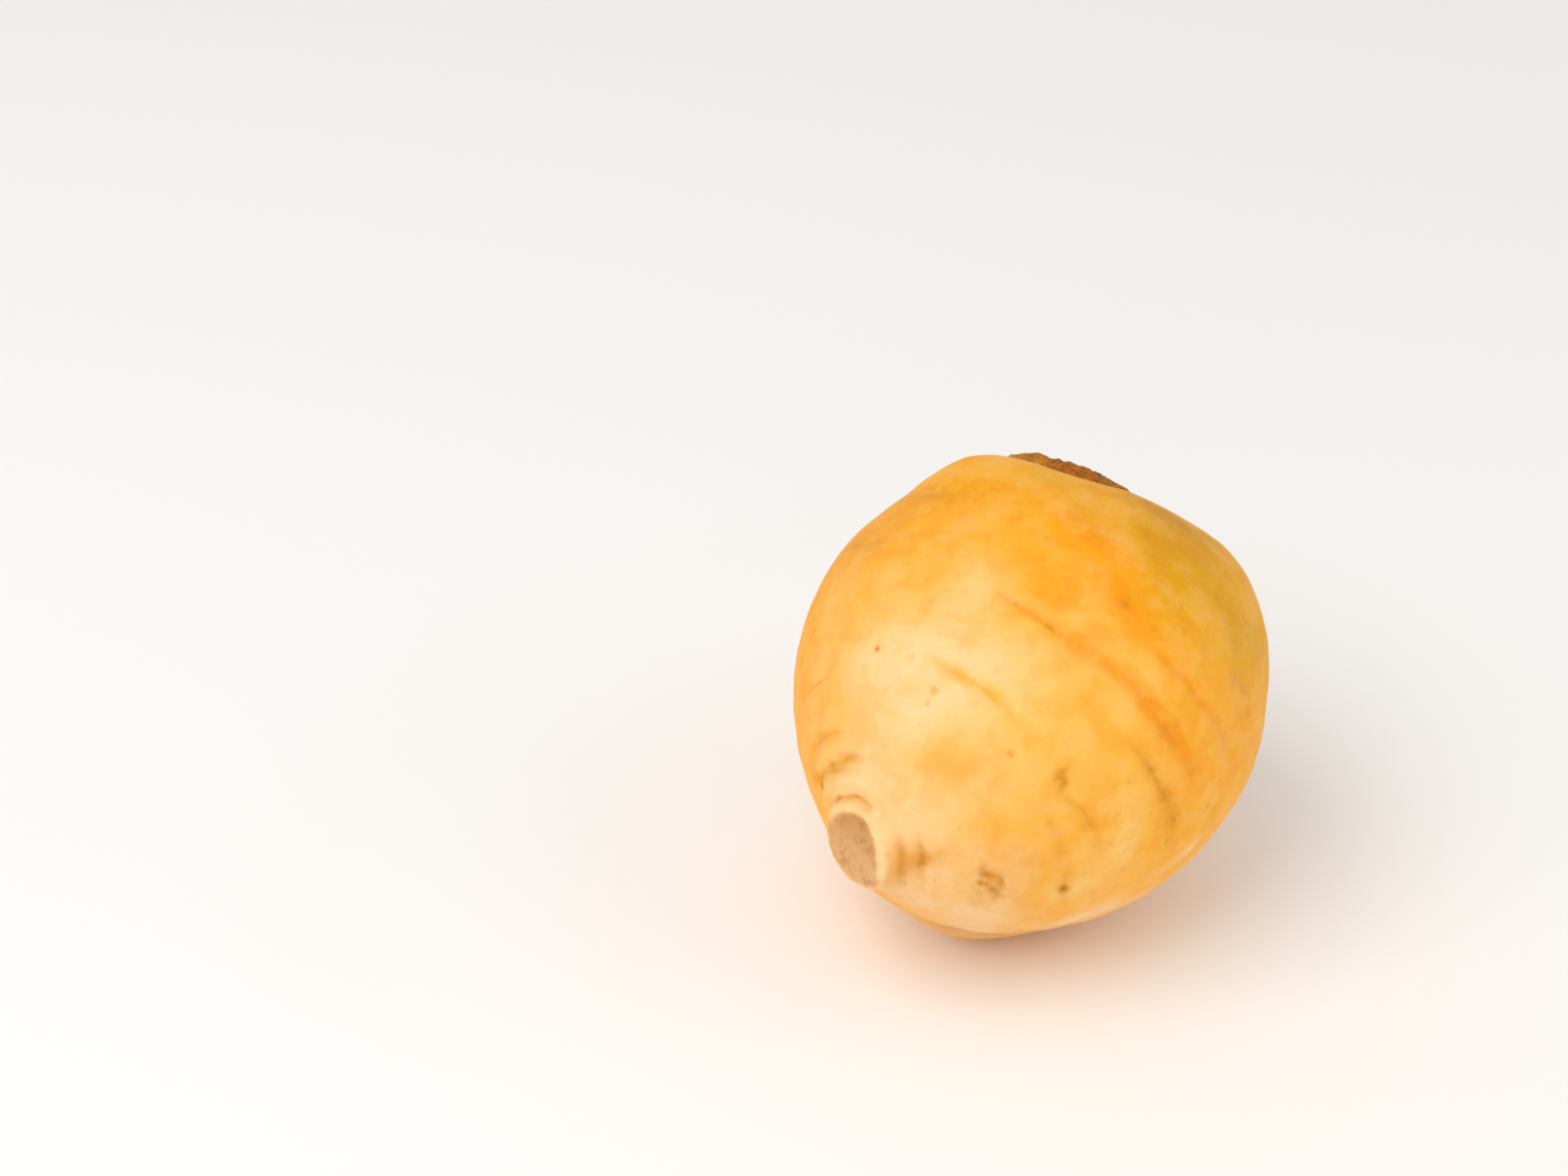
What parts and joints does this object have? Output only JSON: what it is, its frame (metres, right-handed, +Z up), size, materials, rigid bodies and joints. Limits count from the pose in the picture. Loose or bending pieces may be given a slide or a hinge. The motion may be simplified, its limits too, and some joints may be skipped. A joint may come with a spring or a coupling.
{
  "type": "turnip",
  "caption": "Golden turnip lying on its side: round swollen root tapering to a cut tail stub, with a short trimmed crown of leaf stalk bases.",
  "frame": {"origin": "middle of the small flat that the root rests on", "axes": "+Z up from the surface it rests on; the tail stub points towards -Y and a little towards -X; the crown points towards +Y and up"},
  "size_m": [0.0876, 0.0905, 0.0864],
  "materials": {
    "golden_skin": "satin",
    "olive_leaf_stalks": "matte"
  },
  "bodies": {
    "root": {"turnip_root": "golden_skin", "crown_leaf_bases": "olive_leaf_stalks"}
  },
  "joints": []
}
